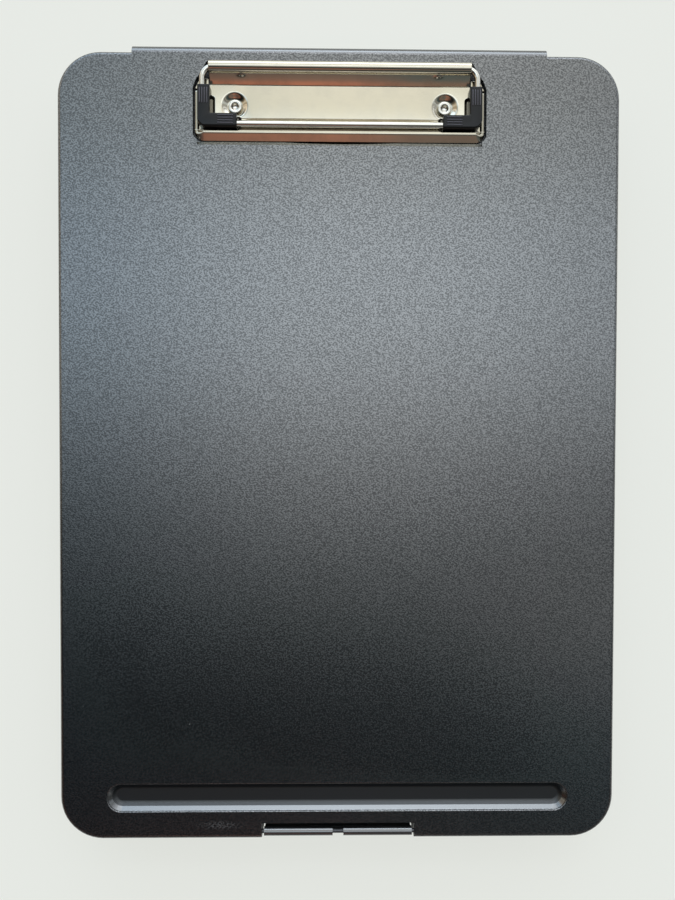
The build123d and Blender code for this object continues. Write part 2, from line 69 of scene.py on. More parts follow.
# The dome's colours by lean in degrees: -90 is level in front, 0 straight up, 90 level behind.
DOME_BANDS = (
    # a dark front with a brown strip
    (-90, (0.008, 0.008, 0.008)),
    (-64, (0.014, 0.012, 0.010)),
    (-60, (0.028, 0.020, 0.016)),
    (-50, (0.048, 0.036, 0.032)),
    (-44, (0.054, 0.039, 0.034)),
    (-41.8, (0.125, 0.052, 0.036)),
    (-38, (0.125, 0.052, 0.036)),
    # almost black, then lighter towards a pale ceiling
    (-35.5, (0.003, 0.005, 0.006)),
    (-26, (0.002, 0.005, 0.006)),
    (-19, (0.015, 0.018, 0.019)),
    (-10, (0.068, 0.072, 0.072)),
    (-5, (0.122, 0.126, 0.127)),
    (2, (0.235, 0.243, 0.250)),
    (8, (0.34, 0.37, 0.39)),
    (19, (0.35, 0.385, 0.415)),
    # a grey wall behind with two bright window bands
    (24, (0.225, 0.232, 0.220)),
    (42, (0.24, 0.245, 0.25)),
    (47, (0.60, 0.63, 0.67)),
    (50, (0.60, 0.63, 0.67)),
    (53, (0.22, 0.22, 0.22)),
    (57, (0.22, 0.22, 0.22)),
    (60, (0.66, 0.73, 0.80)),
    (78, (0.66, 0.73, 0.80)),
    (84, (0.12, 0.12, 0.12)),
    (90, (0.10, 0.10, 0.10)),
)
# Tints laid over the bands from side to side, and the pale zone near the floor.
LEFT_AHEAD = (0.34, 0.42, 0.48, 1)
LEFT_BEHIND = (0.52, 0.61, 0.69, 1)
MIDDLE = (1.05, 1.05, 1.05, 1)
FAR_LEFT = (0.50, 0.42, 0.33, 1)
RIGHT = (0.45, 0.46, 0.47, 1)
WARM_GLOW = (4.0, 3.6, 3.5, 1)
COOL_DULL = (0.52, 0.84, 0.98, 1)
LOW_PALE = (0.80, 0.80, 0.79, 1)


def smoothstep(low, high, value):
    """0 below low, 1 above high, smooth between them."""
    t = min(1.0, max(0.0, (value - low) / (high - low)))
    return t * t * (3 - 2 * t)


def spread(*spans):
    """Rising positions through spans of (start, end, step)."""
    places = [spans[0][0]]
    for start, end, step in spans:
        count = max(1, round((end - start) / step))
        places += [start + (end - start) * (i + 1) / count for i in range(count)]
    return places


def blend_between(first, second, share):
    """The value this share of the way from the first to the second."""
    return first + (second - first) * share


def piece_from(bm, name, material, body, slot, *nodes, sharp=None):
    """Turns a bmesh into a smooth-shaded piece that stands for frame nodes."""
    bmesh.ops.recalc_face_normals(bm, faces=bm.faces)
    mesh = bpy.data.meshes.new(name)
    bm.to_mesh(mesh)
    bm.free()
    mesh.materials.append(material)
    mesh.shade_smooth()
    if sharp is not None:
        mesh.set_sharp_from_angle(angle=math.radians(sharp))
    piece = bpy.data.objects.new(name, mesh)
    bpy.context.scene.collection.objects.link(piece)
    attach(piece, body)
    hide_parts(*nodes)
    return piece


def join_rings(bm, rings, capped=False):
    """Faces between closed rings of vertices, triangles where one vertex stands for a whole ring."""
    for lower, upper in zip(rings, rings[1:]):
        for i in range(len(lower)):
            j = (i + 1) % len(lower)
            corners = list(dict.fromkeys((lower[i], lower[j], upper[j], upper[i])))
            if len(corners) > 2:
                bm.faces.new(corners)
    if capped:
        bm.faces.new(rings[0])
        bm.faces.new(rings[-1])


def spun(bm, profile, place, sides):
    """Turns a profile of (radius, height) about a vertical axis; a radius of 0 closes it."""
    rings = []
    for radius, height in profile:
        if radius == 0:
            rings.append([bm.verts.new((place.x, place.y, height))] * sides)
            continue
        ring = []
        for i in range(sides):
            angle = 2 * math.pi * i / sides
            x = place.x + radius * math.cos(angle)
            y = place.y + radius * math.sin(angle)
            ring.append(bm.verts.new((x, y, height)))
        rings.append(ring)
    join_rings(bm, rings)


def rounded_route(corners, radii, step=math.radians(7.5)):
    """Points of a level route whose corners are rounded by tangent arcs."""
    points = [corners[0]]
    for before, corner, after, radius in zip(corners, corners[1:], corners[2:], radii):
        into = (corner - before).normalized()
        out = (after - corner).normalized()
        turn = into.angle(out)
        side = 1 if into.x * out.y - into.y * out.x > 0 else -1
        across = Vector((-into.y, into.x, 0)) * side
        start = corner - into * radius * math.tan(turn / 2)
        centre = start + across * radius
        count = max(2, round(turn / step))
        for i in range(count + 1):
            angle = turn * i / count
            points.append(centre - across * radius * math.cos(angle) + into * radius * math.sin(angle))
    points.append(corners[-1])
    return points


def round_bar(bm, points, radius, sides):
    """A round bar along a level route, with softened ends."""
    end_share = 0.75
    end_length = 0.3
    last = len(points) - 1
    stations = [(points[0], 0, end_share)]
    stations += [(p, i, 1.0) for i, p in enumerate(points)]
    stations += [(points[last], last, end_share)]
    rings = []
    for place, (point, i, share) in enumerate(stations):
        ahead = points[min(i + 1, last)] - points[max(i - 1, 0)]
        ahead.normalize()
        across = Vector((-ahead.y, ahead.x, 0))
        shift = Vector()
        if place == 1:
            shift = ahead * radius * end_length
        if place == len(stations) - 2:
            shift = ahead * radius * -end_length
        ring = []
        for k in range(sides):
            angle = 2 * math.pi * k / sides
            out = across * radius * share * math.cos(angle)
            up = Vector((0, 0, 1)) * radius * share * math.sin(angle)
            ring.append(bm.verts.new(point + shift + out + up))
        rings.append(ring)
    join_rings(bm, rings, capped=True)


class StampedPlate:
    """Shape of the clip's stamped sheet, in millimetres: x across, f forward of the curl's axis."""

    def __init__(self, settings):
        self.half = PLATE_HIGH.x / MM
        self.floor = PLATE_LOW.z / MM
        self.roll = settings.roll_radius / MM
        self.roll_half = settings.roll_half / MM
        self.roll_y = PLATE_HIGH.y / MM - self.roll
        self.roll_z = PLATE_HIGH.z / MM - self.roll
        self.reach = self.roll_y - PLATE_LOW.y / MM
        # heights of the sheet's zones
        self.pan = self.floor + 0.9
        self.flat = self.floor + 2.2
        self.trough = self.floor + 1.5
        self.valley = self.pan - 0.18
        self.bowl_floor = self.pan - 0.2
        self.rim_crest = self.floor + 2.1
        self.bead_crest = self.floor + 2.7
        self.bead_lip = self.floor + 0.75
        # rounded front corners
        self.corner = 4.2
        self.corner_x = self.half - self.corner
        self.corner_f = self.reach - self.corner
        # widths of the side rim and of the front bead, from the outline inwards
        self.rim_slope = 0.3
        self.rim_top = 1.15
        self.rim_fall = 0.3
        self.rim_shoulder = 0.3
        self.bead_slope = 3.1
        self.bead_top = 0.75
        self.bead_fall = 3.2
        self.bead_fall_by_arm = 1.2
        self.bead_hump = 0.08
        # raised flat
        self.flat_half = 54.4
        self.flat_widening = 2.2
        self.flat_rear = 6.75
        self.flat_middle = 14.2
        self.flat_front = 20.95
        self.flat_front_by_arm = 19.85
        self.crown = 0.07
        self.arm_start = 43.4
        # valley behind the flat, ears beside the curl and the step in the outline there
        self.valley_row = 6.45
        self.ear_start = 56.3
        self.ear_rear = 3.6
        self.step = 8.1
        self.inset = 2.3
        # dished places and holes of the rivets
        self.rivet = Vector(((RIVET_LOW.x + RIVET_HIGH.x) / 2, (RIVET_LOW.y + RIVET_HIGH.y) / 2)) / MM
        self.rivet_f = self.roll_y - self.rivet.y
        self.dish = 0.13
        self.dish_width = 6.6
        self.bowl_radius = 5.55
        self.bowl_wall = 2.4
        self.shank_room = 2.15
        # dents in the riser
        self.dent_depth = 0.32
        self.dent_x = 42
        self.dent_row = 13
        self.slack = 0.01

    def half_at(self, f):
        """Half width of the outline at this place."""
        if f >= self.step:
            return self.half
        return self.half - self.inset * (self.step - f) / (self.step - self.ear_rear)

    def fit(self, x, f):
        """Moves a grid point so that the grid follows the rounded front and the stepped rear."""
        side = 1 if x > 0 else -1
        x = abs(x)
        if x > self.corner_x and f > self.corner_f:
            s = (x - self.corner_x) / self.corner
            t = (f - self.corner_f) / self.corner
            x = self.corner_x + self.corner * s * math.sqrt(1 - t * t / 2)
            f = self.corner_f + self.corner * t * math.sqrt(1 - s * s / 2)
        elif f < self.step and x > self.ear_start:
            share = (x - self.ear_start) / (self.half - self.ear_start)
            x = blend_between(self.ear_start, self.half_at(f), share)
        return side * x, f

    def rim(self, base, x, f, inset, front):
        """Height of the edge this far in from the outline; front is 1 on the bead, 0 on a side rim."""
        fade = smoothstep(self.step - 0.4, self.step + 1.6, f)
        arm = smoothstep(self.arm_start - 1.2, self.arm_start, x)
        outer = blend_between(self.rim_slope, self.bead_slope, front)
        ledge = blend_between(self.rim_top, self.bead_top, front)
        bead_fall = blend_between(self.bead_fall, self.bead_fall_by_arm, arm)
        inner = blend_between(self.rim_fall, bead_fall, front)
        side_crest = blend_between(self.pan, self.rim_crest, fade)
        crest = blend_between(side_crest, self.bead_crest, front)
        lip = blend_between(self.pan, self.bead_lip, front)
        shoulder = crest - self.rim_shoulder * (1 - front) * fade
        if inset < outer:
            share = inset / outer
            line = blend_between(lip, shoulder + self.bead_hump * front, share)
            return blend_between(line, shoulder, smoothstep(0.86, 1.0, share))
        if inset < outer + ledge:
            return blend_between(shoulder, crest, (inset - outer) / ledge)
        past = (inset - outer - ledge) / inner
        fall = blend_between(min(1.0, past), smoothstep(0, 1, past), 0.25)
        return crest - (crest - base) * fall

    def height(self, x, f):
        """Height of the sheet's upper face."""
        x = abs(x)
        side = self.flat_half + self.flat_widening * smoothstep(12.6, 11.4, f)
        centre = smoothstep(side + 0.05, side - 1.0, x)
        arm = smoothstep(self.arm_start - 1.1, self.arm_start, x)
        flat_end = blend_between(self.flat_front, self.flat_front_by_arm, arm)
        base = self.pan + (self.trough - self.pan) * (1 - arm) * smoothstep(12, 19, f)
        base += (self.valley - self.pan) * smoothstep(9, 7.4, f) * smoothstep(56.2, 55.2, x)
        raised = smoothstep(self.flat_rear - 0.1, self.flat_rear + 0.5, f)
        raised *= smoothstep(flat_end + 0.75, flat_end - 0.15, f)
        ahead = f - self.flat_middle
        crown = self.crown * (1 - (ahead / 6.6) ** 2)
        crown -= 0.03 * ahead * smoothstep(38.5, 44, x + 0.25 * ahead)
        z = base + (self.flat + crown - base) * raised * centre
        near = math.hypot(x - self.rivet.x, f - self.rivet_f)
        z -= self.dish * math.exp(-((near / self.dish_width) ** 2)) * raised * centre
        bowl = min(1.0, max(0.0, (self.bowl_radius - near) / self.bowl_wall))
        bowl = blend_between(bowl, smoothstep(0, 1, bowl), 0.2)
        z = blend_between(z, self.bowl_floor, bowl)
        if x > self.corner_x and f > self.corner_f:
            out_x = x - self.corner_x
            out_f = f - self.corner_f
            inset = self.corner - math.hypot(out_x, out_f)
            front = smoothstep(0.1, 0.9, math.atan2(out_f, out_x) / (math.pi / 2))
            return self.rim(z, x, f, max(0.0, inset), front)
        bead = self.rim(z, x, f, self.reach - f, 1.0)
        if x <= self.corner_x:
            return bead
        return max(bead, self.rim(z, x, f, self.half_at(f) - x, 0.0))

    def curl(self):
        """Section of the riser and the curl, as points of (f, z), from the valley to the curl's lip."""
        riser_steps = 16
        curl_steps = 40
        curl_turn = math.radians(306)
        foot = math.radians(31.5)
        top = math.radians(40)
        start = Vector((self.valley_row, self.valley))
        bend = Vector((self.roll, self.roll_z)) + Vector((0, 0.2))
        first = start + 1.3 * Vector((-math.cos(foot), math.sin(foot)))
        second = bend - 1.2 * Vector((-math.cos(top), math.sin(top)))
        section = []
        for i in range(1, riser_steps + 1):
            t = i / riser_steps
            section.append(
                start * (1 - t) ** 3
                + first * 3 * t * (1 - t) ** 2
                + second * 3 * t * t * (1 - t)
                + bend * t**3
            )
        for i in range(1, curl_steps + 1):
            angle = curl_turn * i / curl_steps
            f = self.roll * math.cos(angle)
            z = self.roll_z + self.roll * math.sin(angle)
            section.append(Vector((f, z)))
        return section

    def build(self):
        """The sheet's upper face as a bmesh in metres."""
        bm = bmesh.new()
        half_x = spread(
            (0, 36, 1.5),
            (36, 50.6, 0.36),
            (50.6, self.roll_half, 0.26),
            (self.roll_half, self.ear_start, 0.3),
            (self.ear_start, self.half, 0.24),
        )
        columns = [-x for x in reversed(half_x[1:])] + half_x
        rows = spread(
            (self.valley_row, 9.0, 0.15),
            (9.0, 19.6, 0.33),
            (19.6, 22.2, 0.15),
            (22.2, self.reach, 0.16),
        )
        rows.reverse()
        grid = []
        for f in rows:
            line = []
            for x in columns:
                px, pf = self.fit(x, f)
                line.append(self.vertex(bm, px, pf, self.height(px, pf)))
            grid.append(line)
        for lower, upper in zip(grid, grid[1:]):
            self.fill(bm, lower, upper)
        self.add_curl(bm, columns, grid[-1])
        self.add_ears(bm, columns, grid[-1])
        loose = [v for v in bm.verts if not v.link_faces]
        bmesh.ops.delete(bm, geom=loose)
        return bm

    def vertex(self, bm, x, f, z):
        """A vertex at this place on the clip."""
        return bm.verts.new((x * MM, (self.roll_y - f) * MM, z * MM))

    def fill(self, bm, lower, upper):
        """Quads between two rows, left out where the rivet's shank passes."""
        rivet = self.rivet * MM
        for a, b, c, d in zip(lower, lower[1:], upper[1:], upper):
            if None in (a, b, c, d):
                continue
            middle = (a.co + b.co + c.co + d.co) / 4
            if math.hypot(abs(middle.x) - rivet.x, middle.y - rivet.y) > self.shank_room * MM:
                bm.faces.new((a, b, c, d))

    def dent(self, x, number):
        """Depth of the two stamped dents in the riser, at a point of this number in its section."""
        across = (abs(x) - self.dent_x) / 1.5
        along = (number - self.dent_row) / 2.2
        return self.dent_depth * math.exp(-(across**2)) * math.exp(-(along**2))

    def add_curl(self, bm, columns, row):
        """The riser and the curl, as wide as the curl is long."""
        limit = self.roll_half + self.slack
        lower = [v if abs(x) <= limit else None for x, v in zip(columns, row)]
        for number, point in enumerate(self.curl()):
            upper = []
            for x in columns:
                if abs(x) > limit:
                    upper.append(None)
                    continue
                dent = self.dent(x, number)
                upper.append(self.vertex(bm, x, point.x + dent, point.y + dent * 0.6))
            self.fill(bm, lower, upper)
            lower = upper

    def add_ears(self, bm, columns, row):
        """The two flat ears beside the curl."""
        steps = 8
        limit = self.ear_start - self.slack
        lower = [v if abs(x) >= limit else None for x, v in zip(columns, row)]
        for i in range(1, steps + 1):
            f = blend_between(self.valley_row, self.ear_rear, i / steps)
            upper = []
            for x in columns:
                if abs(x) < limit:
                    upper.append(None)
                    continue
                px, pf = self.fit(x, f)
                upper.append(self.vertex(bm, px, pf, self.height(px, pf)))
            self.fill(bm, lower, upper)
            lower = upper


def rubber_grip(bm, hand, rounded):
    """An L-shaped ribbed grip, hand -1 on the left, with a rounded or a cut outer corner."""
    shift = 0.45 * MM
    outer = RUBBER_HIGH.x - shift
    inner = outer - 5.2 * MM
    end = RUBBER_LOW.x
    rear = RUBBER_HIGH.y
    front = RUBBER_LOW.y - shift
    back = front + 5.3 * MM
    low = RUBBER_LOW.z
    rib = 0.3 * MM
    rib_count = 4
    rib_length = 7.0 * MM
    rib_inset = 1.3 * MM
    upright_round = 0.55 * MM
    rim_round = 0.45 * MM
    top = RUBBER_HIGH.z - rib
    cut = (3.6 if rounded else 2.2) * MM
    arc = 8 if rounded else 1
    outline = [(outer, rear), (inner, rear), (inner, back), (end, back), (end, front)]
    for i in range(arc + 1):
        angle = math.pi / 2 * i / arc
        outline.append((outer - cut + cut * math.sin(angle), front + cut - cut * math.cos(angle)))
    corners = [bm.verts.new((hand * x, y, low)) for x, y in outline]
    floor = bm.faces.new(corners)
    raised = bmesh.ops.extrude_face_region(bm, geom=[floor])["geom"]
    lifted = [v for v in raised if isinstance(v, bmesh.types.BMVert)]
    bmesh.ops.translate(bm, verts=lifted, vec=(0, 0, top - low))
    upright = [
        e
        for e in bm.edges
        if abs(e.verts[0].co.z - e.verts[1].co.z) > MM and e.calc_face_angle() > 0.5
    ]
    bmesh.ops.bevel(bm, geom=upright, offset=upright_round, segments=4, profile=0.5, affect="EDGES")
    rim = [e for e in bm.edges if min(v.co.z for v in e.verts) > top - 0.01 * MM]
    bmesh.ops.bevel(bm, geom=rim, offset=rim_round, segments=4, profile=0.5, affect="EDGES")
    half = rib_length / 2
    for i in range(rib_count):
        share = (i + 1) / (rib_count + 1)
        x = blend_between(inner, outer, share)
        y = blend_between(back, front, share)
        rib_strip(bm, Vector((hand * x, rear - rib_inset - half, top)), Vector((0, half, 0)), rib)
        rib_strip(bm, Vector((hand * (end + rib_inset + half), y, top)), Vector((half, 0, 0)), rib)


def rib_strip(bm, centre, reach, height):
    """A low rib with a rounded back and tapering ends."""
    half_width = 0.3
    steps = 6
    across = Vector((-reach.y, reach.x, 0)).normalized() * half_width * MM
    rings = []
    for along, share in ((-1, 0.25), (-0.94, 0.8), (-0.86, 1), (0.86, 1), (0.94, 0.8), (1, 0.25)):
        ring = []
        for k in range(steps + 1):
            angle = math.pi * k / steps
            lift = Vector((0, 0, height * (1.6 * math.sin(angle) * share - 0.6)))
            ring.append(bm.verts.new(centre + reach * along + across * share * math.cos(angle) + lift))
        rings.append(ring)
    join_rings(bm, rings, capped=True)


class Nodes:
    """A node tree that is built by short calls."""

    def __init__(self, tree):
        self.tree = tree
        tree.nodes.clear()

    def add(self, kind, inputs=None, **settings):
        """Adds a node, sets its properties, and sets or links its inputs."""
        node = self.tree.nodes.new(kind)
        for name, value in settings.items():
            setattr(node, name, value)
        for name, value in (inputs or {}).items():
            if isinstance(value, bpy.types.NodeSocket):
                self.tree.links.new(value, node.inputs[name])
            else:
                node.inputs[name].default_value = value
        return node

    def math(self, operation, *values):
        """The result of a Math node."""
        return self.add("ShaderNodeMath", dict(enumerate(values)), operation=operation).outputs[0]

    def vector_math(self, operation, *values):
        """A Vector Math node."""
        return self.add("ShaderNodeVectorMath", dict(enumerate(values)), operation=operation)

    def ramp(self, value, low, high, to_low=0.0, to_high=1.0, smooth=True):
        """A Map Range node from one span of values to another."""
        node = self.add(
            "ShaderNodeMapRange",
            {"Value": value, "From Min": low, "From Max": high, "To Min": to_low, "To Max": to_high},
            interpolation_type="SMOOTHSTEP" if smooth else "LINEAR",
        )
        return node.outputs[0]

    def mix(self, factor, first, second):
        """A mix of two colours."""
        node = self.add("ShaderNodeMix", {0: factor, 6: first, 7: second}, data_type="RGBA")
        return node.outputs[2]

    def tones(self, factor, colour, low, high):
        """A colour that goes from the low to the high share of itself."""
        return self.mix(
            factor, [c * low for c in colour[:3]] + [1], [c * high for c in colour[:3]] + [1]
        )

    def bump(self, height):
        """Bump from a height in metres."""
        return self.add("ShaderNodeBump", {"Height": height, "Distance": 1.0}).outputs[0]

    def place(self):
        """Object coordinates."""
        return self.add("ShaderNodeTexCoord").outputs["Object"]

    def axes(self, vector):
        """The x, y and z of a vector."""
        return self.add("ShaderNodeSeparateXYZ", {0: vector}).outputs[:]

    def noise(self, vector, feature, detail, roughness, stretch=(1, 1, 1), turn=0.0):
        """Noise whose features are about that many metres across, longer along a turned axis."""
        mapped = self.add(
            "ShaderNodeMapping",
            {"Vector": vector, "Scale": [s / feature for s in stretch], "Rotation": (0, 0, turn)},
        )
        node = self.add(
            "ShaderNodeTexNoise",
            {"Vector": mapped.outputs[0], "Scale": 1.0, "Detail": detail, "Roughness": roughness},
        )
        return node.outputs[0]


def finish_material(name, build):
    """A material whose node tree is built by a function that returns the surface shader's socket."""
    material = bpy.data.materials.new(name)
    material.use_nodes = True
    nodes = Nodes(material.node_tree)
    surface = build(nodes)
    nodes.add("ShaderNodeOutputMaterial", {"Surface": surface})
    return material


def assign(node_name, material):
    """Puts the material in every slot of a frame node."""
    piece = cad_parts[node_name]
    for slot in piece.material_slots:
        slot.material = material


def smooth_places(nodes, settings, y, z):
    """1 in the pen groove and on the hinge hood, 0 elsewhere."""
    across = nodes.math("ABSOLUTE", nodes.math("SUBTRACT", y, settings.groove_centre))
    in_groove = nodes.math(
        "MULTIPLY",
        nodes.ramp(across, settings.groove_half + 0.2 * MM, settings.groove_half - 0.3 * MM),
        nodes.ramp(z, LID_TOP - 0.1 * MM, LID_TOP - 0.5 * MM),
    )
    on_hood = nodes.ramp(y, settings.hood_start - 0.3 * MM, settings.hood_start + 0.3 * MM)
    return nodes.math("MAXIMUM", in_groove, on_hood)


def dust_specks(nodes, vector):
    """1 on a few small specks of dust."""
    spacing = 9 * MM
    cells = nodes.add("ShaderNodeTexVoronoi", {"Vector": vector, "Scale": 1 / spacing})
    kept = nodes.add("ShaderNodeSeparateColor", {0: cells.outputs["Color"]}).outputs[0]
    near = nodes.ramp(cells.outputs["Distance"], 0.028, 0.016)
    return nodes.math("MULTIPLY", near, nodes.ramp(kept, 0.55, 0.9))


def rubbed_streak(nodes, vector, place, grain):
    """1 on a short streak across the lid, where the grain's upper parts are rubbed."""
    away = nodes.vector_math("SUBTRACT", vector, (place[0], place[1], LID_TOP))
    squashed = nodes.vector_math("MULTIPLY", away.outputs[0], (0.20, 1, 1))
    reach = nodes.vector_math("LENGTH", squashed.outputs[0]).outputs["Value"]
    return nodes.math("MULTIPLY", nodes.ramp(reach, 2.6 * MM, 0.2 * MM), nodes.ramp(grain, 0.46, 0.60))


def lid_plastic(settings):
    """Black plastic: leathery on top, smooth in groove and on hood, duller on the sides and inside; its
    sheen is weaker in the grain's folds, partly a matt skin there and partly painted shade.
    """
    scuff_grey = (0.5, 0.52, 0.52, 1)
    dust_grey = (0.6, 0.6, 0.58, 1)

    def build(nodes):
        vector = nodes.place()
        y, z = nodes.axes(vector)[1:]
        smooth = smooth_places(nodes, settings, y, z)
        below = nodes.ramp(z, LID_TOP - 1.9 * MM, LID_TOP - 2.1 * MM)
        grain = nodes.noise(
            vector, settings.grain_size, detail=0.0, roughness=0.5, stretch=(0.8, 1, 1), turn=0.6
        )
        depth = nodes.ramp(smooth, 0.0, 1.0, settings.grain_depth, settings.grain_depth * 0.04)
        bump = nodes.bump(nodes.math("MULTIPLY", grain, depth))
        speck = dust_specks(nodes, vector)
        scuff = rubbed_streak(nodes, vector, settings.scuff_place, grain)
        handled = nodes.noise(vector, 45 * MM, detail=3.0, roughness=0.55)
        colour = nodes.tones(nodes.ramp(handled, 0.35, 0.65), settings.lid_color, 0.9, 1.12)
        colour = nodes.mix(nodes.math("MULTIPLY", scuff, 0.13), colour, scuff_grey)
        colour = nodes.mix(nodes.math("MULTIPLY", speck, 0.30), colour, dust_grey)
        rough = nodes.ramp(smooth, 0.0, 1.0, settings.lid_roughness, settings.groove_roughness)
        rough = nodes.math("ADD", rough, nodes.ramp(handled, 0.2, 0.8, -0.006, 0.008))
        rough = nodes.math("ADD", rough, nodes.ramp(below, 0.0, 1.0, 0.0, 0.22))
        # Painted shade in the grain's folds: the specular tint falls to 0.44 in the valleys and stays
        # full on the crests, partly a matt skin in the folds and partly shade laid into the reflection.
        folds = nodes.ramp(grain, 0.33, 0.67, 0.44, 1.0, smooth=False)
        skin = nodes.ramp(smooth, 0.0, 1.0, folds, 0.75, smooth=False)
        skin = nodes.math("MULTIPLY", skin, nodes.ramp(below, 0.0, 1.0, 1.0, 0.4))
        shine = nodes.add("ShaderNodeCombineColor", {0: skin, 1: skin, 2: skin})
        shader = nodes.add(
            "ShaderNodeBsdfPrincipled",
            {
                "Base Color": colour,
                "Roughness": rough,
                "IOR": settings.lid_ior,
                "Specular IOR Level": 0.95,
                "Specular Tint": shine.outputs[0],
                "Normal": bump,
            },
        )
        return shader.outputs[0]

    return finish_material("lid_plastic_leathery", build)


def plain_plastic(name, colour, roughness, grain_size, grain_depth, ior, rubbed=None):
    """Black plastic or rubber with a fine even grain, and a painted highlight in light grey where it
    stands above a given height.
    """
    crest_highlight_grey = (0.13, 0.125, 0.145, 1)

    def build(nodes):
        vector = nodes.place()
        grain = nodes.noise(vector, grain_size, detail=3.0, roughness=0.6)
        bump = nodes.bump(nodes.math("MULTIPLY", grain, grain_depth))
        handled = nodes.noise(vector, 30 * MM, detail=3.0, roughness=0.5)
        shade = nodes.tones(nodes.ramp(handled, 0.3, 0.7), colour, 0.88, 1.15)
        # Painted highlight: above the given height, on the grips' rib crests, the black is mixed to a
        # light bluish grey.
        if rubbed is not None:
            crest_highlight = nodes.ramp(nodes.axes(vector)[2], rubbed - 0.12 * MM, rubbed + 0.06 * MM)
            shade = nodes.mix(crest_highlight, shade, crest_highlight_grey)
        rough = nodes.ramp(handled, 0.2, 0.8, roughness - 0.04, roughness + 0.04)
        shader = nodes.add(
            "ShaderNodeBsdfPrincipled",
            {"Base Color": shade, "Roughness": rough, "IOR": ior, "Normal": bump},
        )
        return shader.outputs[0]

    return finish_material(name, build)


def metal(name, colour, roughness, streak=(1, 1, 1)):
    """Plated or drawn steel with faint smudges and fine lines."""

    def build(nodes):
        vector = nodes.place()
        lines = nodes.noise(vector, 0.25 * MM, detail=2.0, roughness=0.6, stretch=streak)
        smudge = nodes.noise(vector, 9 * MM, detail=4.0, roughness=0.6)
        bump = nodes.bump(nodes.math("MULTIPLY", lines, 0.0006 * MM))
        tint = nodes.tones(nodes.ramp(smudge, 0.35, 0.7), colour, 1.0, 0.93)
        rough = nodes.ramp(smudge, 0.3, 0.7, roughness, roughness * 1.7)
        shader = nodes.add(
            "ShaderNodeBsdfPrincipled",
            {"Base Color": tint, "Metallic": 1.0, "Roughness": rough, "Normal": bump},
        )
        return shader.outputs[0]

    return finish_material(name, build)


class ClipboxPlastic(bpy.types.PropertyGroup):
    """Sizes and colours of the plastic pieces."""

    lid_color: bpy.props.FloatVectorProperty(
        name="Lid colour", description="Black of the lid and the tray", subtype="COLOR", size=4,
        default=(0.0009, 0.0028, 0.0041, 1),
    )
    lid_roughness: bpy.props.FloatProperty(
        name="Lid roughness", description="Roughness of the writing surface", subtype="FACTOR",
        default=0.24,
    )
    lid_ior: bpy.props.FloatProperty(
        name="Lid gloss", description="Refractive index of the lid's skin", default=2.12
    )
    groove_roughness: bpy.props.FloatProperty(
        name="Groove roughness", description="Roughness in the pen groove and on the hood",
        subtype="FACTOR", default=0.22,
    )
    grain_size: bpy.props.FloatProperty(
        name="Grain size", description="Width of one leathery fold", unit="LENGTH", default=0.54 * MM
    )
    grain_depth: bpy.props.FloatProperty(
        name="Grain depth", description="Height of the leathery folds", unit="LENGTH",
        default=0.020 * MM,
    )
    groove_centre: bpy.props.FloatProperty(
        name="Groove place", description="Middle of the pen groove along the lid", unit="LENGTH",
        default=LID_LOW.y + 18.2 * MM,
    )
    groove_half: bpy.props.FloatProperty(
        name="Groove half width", description="Half the pen groove's width", unit="LENGTH",
        default=5.85 * MM,
    )
    scuff_place: bpy.props.FloatVectorProperty(
        name="Scuff", description="Where the lid is rubbed grey, across and along", subtype="XYZ",
        size=2,
        default=(-51.3 * MM, LID_LOW.y + 6.2 * MM),
    )
    hood_start: bpy.props.FloatProperty(
        name="Hood start", description="Where the smooth hinge hood begins", unit="LENGTH",
        default=LID_HIGH.y - 2.6 * MM,
    )


class ClipboxClip(bpy.types.PropertyGroup):
    """Sizes and colours of the clip."""

    sheet: bpy.props.FloatProperty(
        name="Sheet", description="Thickness of the stamped sheet", unit="LENGTH", default=0.6 * MM
    )
    roll_radius: bpy.props.FloatProperty(
        name="Curl radius", description="Outer radius of the curl", unit="LENGTH", default=2.6 * MM
    )
    roll_half: bpy.props.FloatProperty(
        name="Curl half length", description="Half the length of the curl", unit="LENGTH",
        default=55.7 * MM,
    )
    wire_radius: bpy.props.FloatProperty(
        name="Wire radius", description="Radius of the spring wire", unit="LENGTH", default=1.25 * MM
    )
    rear_bend: bpy.props.FloatProperty(
        name="Rear bend", description="Radius of the wire's bends beside the curl", unit="LENGTH",
        default=4.6 * MM,
    )
    front_bend: bpy.props.FloatProperty(
        name="Front bend", description="Radius of the wire's bends in the grips", unit="LENGTH",
        default=3.0 * MM,
    )
    sheet_color: bpy.props.FloatVectorProperty(
        name="Sheet colour", description="Plated sheet", subtype="COLOR", size=4,
        default=(0.60, 0.55, 0.445, 1),
    )
    sheet_roughness: bpy.props.FloatProperty(
        name="Sheet roughness", description="Roughness of the plated sheet", subtype="FACTOR",
        default=0.10,
    )
    wire_color: bpy.props.FloatVectorProperty(
        name="Wire colour", description="Plated wire and rivets", subtype="COLOR", size=4,
        default=(0.69, 0.66, 0.59, 1),
    )
    rubber_color: bpy.props.FloatVectorProperty(
        name="Grip colour", description="Rubber corners", subtype="COLOR", size=4,
        default=(0.0045, 0.0046, 0.0052, 1),
    )


class ClipboxStage(bpy.types.PropertyGroup):
    """Camera, floor and light."""

    camera_place: bpy.props.FloatVectorProperty(
        name="Camera place", description="Where the camera stands", subtype="TRANSLATION", size=3,
        default=(-4.78 * MM, 4.21 * MM, 317.0 * MM),
    )
    camera_turn: bpy.props.FloatVectorProperty(
        name="Camera turn", description="How the camera leans", subtype="EULER", size=3,
        default=(math.radians(-1.083), math.radians(-0.801), math.radians(0.158)),
    )
    lens: bpy.props.FloatProperty(
        name="Lens", description="Focal length in millimetres on a 36 mm frame", default=27.04
    )
    floor_color: bpy.props.FloatVectorProperty(
        name="Floor colour", description="Pale floor and backdrop", subtype="COLOR", size=4,
        default=(0.82, 0.835, 0.785, 1),
    )
    light: bpy.props.FloatProperty(
        name="Light", description="Brightness of the dome above the box", default=5.0
    )


